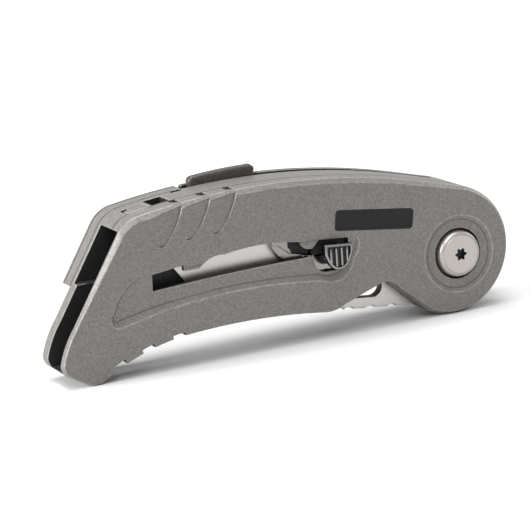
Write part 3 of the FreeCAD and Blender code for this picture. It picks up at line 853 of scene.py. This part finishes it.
@dataclass
class Screw:
    """Star-drive screw along the thickness, with sizes in millimetres."""

    head_height: float
    shank_radius: float
    star_radius: float
    star_depth: float
    facing: Facing
    crown: Profile
    chamfer: float = 0.2
    lobe: float = 0.16
    taper: float = 0.86

    def mesh(self, box: SolidBox) -> BMesh:
        """Turned screw with its driver recess.

        Args:
            box: Box of the screw's solid, whose radius is that of the head.

        Returns:
            The closed mesh.
        """
        side = self.facing.value
        face, tip = (box.high.y, box.low.y) if side > 0 else (box.low.y, box.high.y)
        head = box.radius
        rim = [(head - inward * MM, face - side * depth * MM) for inward, depth in self.crown]
        seat = face - side * self.head_height * MM
        shank = self.shank_radius * MM
        chamfer = self.chamfer * MM
        profile = [(self.star_radius * MM, face), *rim, (head, seat), (shank, seat),
                   (shank, tip + side * chamfer), (shank - chamfer, tip), (0.0, tip)]
        bm = spun(profile, Vector((box.centre.x, 0.0, box.centre.z)))
        self.cut_star(bm, Vector((box.centre.x, face, box.centre.z)), -side * self.star_depth * MM)
        return bm

    def cut_star(self, bm: BMesh, middle: Vector, depth: float) -> None:
        """Shape the open ring of the head into a star and sink it.

        Args:
            bm: Mesh with one open ring.
            middle: Middle of the head's face.
            depth: Signed depth along Y.
        """
        ring = open_rim(bm)
        for vert in {vert for edge in ring for vert in edge.verts}:
            arm = vert.co - middle
            wave = 1.0 + self.lobe * (math.cos(LOBES * math.atan2(arm.z, arm.x)) - 1.0)
            vert.co = middle + arm * wave
        outside = set(bm.faces)
        sides = bmesh.ops.extrude_edge_only(bm, edges=ring)["geom"]
        low = [item for item in sides if isinstance(item, BMVert)]
        bmesh.ops.translate(bm, vec=(0.0, depth, 0.0), verts=low)
        bmesh.ops.scale(bm, vec=(self.taper, 1.0, self.taper), space=Matrix.Translation(-middle),
                        verts=low)
        bmesh.ops.contextual_create(bm, geom=open_rim(bm))
        # The recess walls and floor get black painted shade.
        for face in set(bm.faces) - outside:
            face.material_index = SHADED


@dataclass
class Pivot:
    """Main pivot: turned screw, threaded barrel, bronze washers and the stop pin."""

    head_height: float = 3.1
    shank_radius: float = 2.2
    star_radius: float = 1.5
    star_depth: float = 1.2
    washer_bore: float = 3.53
    washer_chamfer: float = 0.08
    barrel_rim: float = 0.04
    chamfer: float = 0.12
    crown: Profile = ((1.0, 0.0), (0.93, 0.05), (0.88, 0.14), (0.8, 0.14), (0.74, 0.06), (0.6, 0.1),
                      (0.3, 0.36), (0.1, 0.62), (0.0, 0.95))

    def build(self) -> None:
        """Build the pieces of the pivot."""
        box = node_box("pivot_screw")
        screw = Screw(self.head_height, self.shank_radius, self.star_radius, self.star_depth,
                      Facing.THUMB_SIDE, self.crown)
        turned = replace(TURNED_HEAD, axis=(box.centre.x, box.centre.z))
        finish_piece("pivot_screw_turned", screw.mesh(box), turned, Body.HANDLE,
                     ["pivot_screw"])
        washers = [self.washer(item) for item in solid_boxes("pivot_washers")]
        finish_piece("bronze_washers", join(washers), BRONZE, Body.HANDLE,
                     ["pivot_washers"])
        soft_copy("pivot_barrel", self.barrel_rim, PLATED_STEEL, Body.HANDLE)
        finish_piece("stop_pin_turned", pin(node_box("stop_pin"), self.chamfer * MM), PLATED_STEEL,
                     Body.HANDLE, ["stop_pin"])

    def washer(self, box: SolidBox) -> BMesh:
        """Flat ring with chamfered edges.

        Args:
            box: Box of the washer's solid.

        Returns:
            The closed mesh.
        """
        bore, edge, cut = self.washer_bore * MM, box.radius, self.washer_chamfer * MM
        low, high = box.low.y, box.high.y
        loop = [(bore, low + cut), (bore + cut, low), (edge - cut, low), (edge, low + cut),
                (edge, high - cut), (edge - cut, high), (bore + cut, high), (bore, high - cut),
                (bore, low + cut)]
        return spun(loop, Vector((box.centre.x, 0.0, box.centre.z)))


@dataclass
class CaseFasteners:
    """Screws driven from the clip side."""

    shank_radius: float = 1.0
    star_radius: float = 1.0
    star_depth: float = 0.6
    star_share: float = 0.8
    chamfer: float = 0.15
    crown: Profile = ((0.32, 0.0), (0.16, 0.05), (0.05, 0.16), (0.0, 0.34))
    heights: dict[str, float] = field(
        default_factory=lambda: {"case_screws": 1.1, "housing_screws": 0.6, "clip_screws": 1.0})

    def build(self) -> None:
        """Build each set of screws."""
        for node, height in self.heights.items():
            depth = min(self.star_depth, height * self.star_share)
            screw = Screw(height, self.shank_radius, self.star_radius, depth, Facing.CLIP_SIDE,
                          self.crown, chamfer=self.chamfer)
            meshes = [screw.mesh(box) for box in solid_boxes(node)]
            finish_piece(node + "_turned", join(meshes), PLATED_STEEL, Body.HANDLE,
                         [node])


@dataclass
class BeltClip:
    """Spring-steel belt clip."""

    rim: float = 0.22

    def build(self) -> None:
        """Build the clip."""
        soft_copy("belt_clip", self.rim, SPRING_STEEL, Body.HANDLE, segments=3)


@dataclass
class Slide:
    """Sliding blade with its carriage, clamp plate, rivets and button spring."""

    rim: float = 0.12
    rivet_dome: float = 0.25
    pocket_depth: float = 1.2
    plate_rim: float = 0.08
    blade_rim: float = 0.03
    spring_rim: float = 0.04
    spring_keep: float = 0.24

    def build(self) -> None:
        """Build the pieces that slide."""
        self.build_carriage()
        soft_copy("clamp_plate", self.plate_rim, SPRING_STEEL, Body.CARRIAGE)
        soft_copy("utility_blade", self.blade_rim, BLADE_STEEL, Body.CARRIAGE,
                  segments=1)
        rivets = [pin(box, self.rivet_dome * MM) for box in solid_boxes("clamp_rivets")]
        finish_piece("rivets_turned", join(rivets), PLATED_STEEL, Body.CARRIAGE,
                     ["clamp_rivets"])
        spring = soft_copy("button_spring", self.spring_rim, SPRING_STEEL, Body.CARRIAGE,
                           segments=1)
        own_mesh(spring)

    def build_carriage(self) -> None:
        """Build the carriage, with black painted shade on the floor of its pocket behind the jaw."""
        bm = merged_copy("carriage")
        box = node_box("carriage")
        floor = box.low.y + self.pocket_depth * MM
        for face in bm.faces:
            centre = face.calc_center_median()
            if face.normal.y < -FACING_SIDE and abs(centre.y - floor) < MERGE_GAP:
                face.material_index = SHADED
        round_edges(bm, sharp_edges(bm), self.rim * MM)
        finish_piece("carriage_body", bm, SATIN_STEEL, Body.CARRIAGE, ["carriage"],
                     recalculate=False)


@dataclass
class ThumbButton:
    """Button with a raised rim round a sunk floor and plain upright ribs, in millimetres."""

    half_width: float = 3.4
    top_left: float = 2.8
    top_right: float = 2.2
    bottom: float = -3.3
    left_end: float = 0.3
    arc_steps: int = 18
    head_thick: float = 1.5
    rim_round: float = 0.32
    rim_width: float = 0.5
    floor_depth: float = 0.5
    ribs: int = 4
    rib_width: float = 0.5
    rib_rise: float = 0.42
    rib_round: float = 0.16
    rib_root: float = 0.1
    rib_margin: float = 0.5
    rib_gap: tuple[float, float] = (0.2, 0.1)
    floor_slope: float = 0.16
    fullness: float = 2.6
    neck: tuple[float, float] = (2.2, 0.7)
    neck_rise: float = 1.05
    neck_round: float = 0.1
    foot_thick: float = 0.45
    foot_round: float = 0.12

    def build(self) -> None:
        """Build the button from its head, its ribs, its neck and its foot."""
        box = node_box("slide_button")
        meshes = [self.head(box), *self.rib_bars(box), self.stem(box), *self.foot(box)]
        finish_piece("thumb_button", join(meshes), CHROME, Body.BUTTON,
                     ["slide_button"])

    def low_edge(self, x: float) -> float:
        """Height of the round lower edge at an x, both from the middle of the head."""
        span = self.left_end - self.bottom
        return self.bottom + span * abs(x / self.half_width) ** self.fullness

    def head(self, box: SolidBox) -> BMesh:
        """D-shaped head with its rim and sunk floor.

        Args:
            box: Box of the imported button.

        Returns:
            The closed mesh.
        """
        bm = bmesh.new()
        back = box.low.y + self.head_thick * MM
        half = self.half_width
        steps = [half - 2 * half * index / self.arc_steps for index in range(self.arc_steps + 1)]
        corners = [(-half, self.top_left), (half, self.top_right)]
        outline = corners + [(x, self.low_edge(x)) for x in steps]
        verts = [bm.verts.new((box.centre.x + x * MM, back, box.centre.z + z * MM))
                 for x, z in outline]
        base = bm.faces.new(verts)
        lifted = bmesh.ops.extrude_face_region(bm, geom=[base], use_keep_orig=True)["geom"]
        front = next(item for item in lifted if isinstance(item, BMFace))
        bmesh.ops.translate(bm, vec=(0.0, box.low.y - back, 0.0), verts=front.verts[:])
        bmesh.ops.recalc_face_normals(bm, faces=bm.faces[:])
        round_edges(bm, front.edges[:], self.rim_round * MM, segments=3)
        front = min(bm.faces,
                    key=lambda face: (round(face.calc_center_median().y, 6), -face.calc_area()))
        bmesh.ops.inset_region(bm, faces=[front], use_even_offset=True,
                               thickness=self.rim_width * MM - self.rim_round * MM)
        bmesh.ops.inset_region(bm, faces=[front], thickness=self.floor_slope * MM,
                               depth=-self.floor_depth * MM, use_even_offset=True)
        # The sunk floor between the ribs gets black painted shade.
        front.material_index = SHADED
        return bm

    def rib_bars(self, box: SolidBox) -> list[BMesh]:
        """Upright ribs on the sunk floor."""
        room = 2 * (self.half_width - self.rim_width) - self.rib_margin
        pitch = room / self.ribs
        below, above = self.rib_gap
        origin = Vector((box.centre.x, box.low.y, box.centre.z))
        bars = []
        for index in range(self.ribs):
            x = -room / 2 + pitch * (index + 0.5)
            low = self.low_edge(x) + self.rim_width + below
            high = self.top_right - self.rim_width - above
            place = Vector((x, self.floor_depth - self.rib_rise / 2, (low + high) / 2)) * MM
            size = Vector((self.rib_width, self.rib_rise + self.rib_root, high - low)) * MM
            bars.append(bar(origin + place, size, self.rib_round * MM))
        return bars

    def stem(self, box: SolidBox) -> BMesh:
        """Neck through the slot, all in black painted shade."""
        half_x, half_z = self.neck
        low = box.low.y + self.head_thick * MM
        high = box.high.y - self.foot_thick * MM / 2
        middle = Vector((box.centre.x, (low + high) / 2, box.centre.z + self.neck_rise * MM))
        neck = bar(middle, (2 * half_x * MM, high - low, 2 * half_z * MM), self.neck_round * MM)
        for face in neck.faces:
            face.material_index = SHADED
        return neck

    def foot(self, box: SolidBox) -> list[BMesh]:
        """Flat foot that rides in the carriage: its upper half in black painted shade and its lower
        half in bright chrome.
        """
        thick = self.foot_thick * MM
        long, high = box.high.x - box.low.x, box.high.z - box.low.z
        halves = []
        for side, index in ((0.25, SHADED), (-0.25, OUTER)):
            middle = Vector((box.centre.x, box.high.y - thick / 2, box.centre.z + side * high))
            half = bar(middle, (long, thick, high / 2), self.foot_round * MM)
            for face in half.faces:
                face.material_index = index
            halves.append(half)
        return halves


@dataclass
class FoldingBlade:
    """Folding blade, with black painted shade on the wall of its long hole."""

    rim: float = 0.1
    hole_reach: tuple[float, float] = (-30.5, -16.5)
    hole_rise: tuple[float, float] = (-8.2, -2.0)
    wall_tilt: float = 0.3

    def build(self) -> None:
        """Build the blade."""
        bm = merged_copy("sport_blade")
        pivot = node_box("pivot_screw").centre
        for face in bm.faces:
            offset = (face.calc_center_median() - pivot) / MM
            inside = self.hole_reach[0] < offset.x < self.hole_reach[1]
            inside = inside and self.hole_rise[0] < offset.z < self.hole_rise[1]
            # Walls of the long hole get black painted shade.
            if inside and abs(face.normal.y) < self.wall_tilt:
                face.material_index = SHADED
        round_edges(bm, sharp_edges(bm), self.rim * MM)
        finish_piece("folding_blade_ground", bm, BLADE_STEEL, Body.FOLDING_BLADE,
                     ["sport_blade"], recalculate=False)


@dataclass
class Lock:
    """Lock bar with its stud, pivot pin, spring and thumb pad."""

    pad_rim: float = 0.75
    rim: float = 0.15
    chamfer: float = 0.15
    spring_rim: float = 0.06
    spring_keep: float = 0.34

    def build(self) -> None:
        """Build the lock."""
        soft_copy("lock_bar", self.rim, SPRING_STEEL, Body.LOCK)
        soft_copy("lock_pad", self.pad_rim, PAD_METAL, Body.LOCK, segments=5)
        finish_piece("lock_stud_turned", pin(node_box("lock_stud"), self.chamfer * MM),
                     PLATED_STEEL, Body.LOCK, ["lock_stud"])
        finish_piece("lock_pin_turned", pin(node_box("lock_pivot_pin"), self.chamfer * MM),
                     PLATED_STEEL, Body.HANDLE, ["lock_pivot_pin"])
        spring = soft_copy("lock_spring", self.spring_rim, SPRING_STEEL, Body.HANDLE,
                           segments=1)
        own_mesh(spring)


@dataclass
class NoseLatch:
    """Press latch in the nose."""

    rim: float = 0.18

    def build(self) -> None:
        """Build the latch."""
        soft_copy("nose_latch", self.rim, PAINT, Body.LATCH)


# ------------------------------------------------------------------------------------- studio


@dataclass
class Lamp:
    """Soft square lamp."""

    name: str
    place: tuple[float, float, float]
    size: float
    power: float

    def build(self, target: Vector) -> None:
        """Hang the lamp.

        Args:
            target: Point that it faces.
        """
        light = bpy.data.lights.new(self.name, "AREA")
        light.shape = "SQUARE"
        light.size = self.size
        light.energy = self.power
        lamp = bpy.data.objects.new(self.name, light)
        lamp.location = self.place
        lamp.rotation_euler = (target - Vector(self.place)).to_track_quat("-Z", "Y").to_euler()
        bpy.context.scene.collection.objects.link(lamp)


@dataclass
class Studio:
    """Pale floor, soft lamps and the camera."""

    azimuth: float = -25.03
    elevation: float = 13.387
    roll: float = -4.343
    lens: float = 163.02
    camera_place: tuple[float, float, float] = (-0.22221, -0.4702, 0.14069)
    sensor: float = 36.0
    clip_start: float = 0.01
    floor_size: float = 3.0
    floor_squares: int = 8
    floor_tones: tuple[Tint, Tint] = ((0.6, 0.6, 0.6, 1.0), (0.62, 0.62, 0.62, 1.0))
    floor_patch: float = 0.4
    floor_roughness: float = 0.9
    surround: float = 0.7
    lamp_target: tuple[float, float, float] = (0.0, 0.0, 0.02)
    lamps: tuple[Lamp, ...] = (
        Lamp("sky_lamp", (-0.6, -0.75, 1.5), 1.2, 13.0),
        Lamp("top_lamp", (0.0, 0.2, 1.4), 0.8, 14.0),
        Lamp("left_lamp", (-1.3, 0.1, 0.5), 0.6, 26.0),
        Lamp("right_lamp", (1.2, 0.2, 0.6), 0.6, 5.0),
    )

    def build(self) -> None:
        """Build the studio round the knife."""
        self.build_floor()
        self.build_surround()
        for lamp in self.lamps:
            lamp.build(Vector(self.lamp_target))
        self.build_camera()
        bpy.context.scene.view_settings.view_transform = "Standard"

    def build_floor(self) -> None:
        """Lay the floor."""
        bm = bmesh.new()
        bmesh.ops.create_grid(bm, x_segments=self.floor_squares, y_segments=self.floor_squares,
                              size=self.floor_size)
        mesh = bpy.data.meshes.new("floor")
        bm.to_mesh(mesh)
        bm.free()
        recipe = Recipe("pale_floor")
        tone = recipe.noise(recipe.stretched([self.floor_patch] * 3))
        recipe.feed(recipe.shader.inputs["Base Color"], recipe.blend(tone, *self.floor_tones))
        recipe.shader.inputs["Roughness"].default_value = self.floor_roughness
        mesh.materials.append(recipe.material)
        floor = bpy.data.objects.new("floor", mesh)
        bpy.context.scene.collection.objects.link(floor)

    def build_surround(self) -> None:
        """Light the room evenly."""
        world = bpy.data.worlds.new("room")
        world.use_nodes = True
        background = world.node_tree.nodes["Background"]
        background.inputs["Color"].default_value = (1.0, 1.0, 1.0, 1.0)
        background.inputs["Strength"].default_value = self.surround
        bpy.context.scene.world = world

    def build_camera(self) -> None:
        """Set the camera up."""
        angles = (self.azimuth, self.elevation, self.roll)
        side, lift, lean = (math.radians(angle) for angle in angles)
        level = Vector((math.cos(side), math.sin(side), 0.0))
        upright = Vector((-math.sin(lift) * math.sin(side), math.sin(lift) * math.cos(side),
                          math.cos(lift)))
        back = Vector((math.sin(side) * math.cos(lift), -math.cos(side) * math.cos(lift),
                       math.sin(lift)))
        right = math.cos(lean) * level + math.sin(lean) * upright
        up = math.cos(lean) * upright - math.sin(lean) * level
        lens = bpy.data.cameras.new("camera")
        lens.lens = self.lens
        lens.sensor_width = self.sensor
        lens.clip_start = self.clip_start
        camera = bpy.data.objects.new("camera", lens)
        turn = Matrix((right, up, back)).transposed().to_4x4()
        camera.matrix_world = Matrix.Translation(self.camera_place) @ turn
        bpy.context.scene.collection.objects.link(camera)
        bpy.context.scene.camera = camera


def main() -> None:
    """Build the knife and its studio."""
    for assembly in (Casings(), Badge(), Pivot(), CaseFasteners(), BeltClip(), Slide(),
                     ThumbButton(), FoldingBlade(), Lock(), NoseLatch(), Studio()):
        log.info("building %s", type(assembly).__name__)
        assembly.build()


if __name__ == "__main__":
    main()
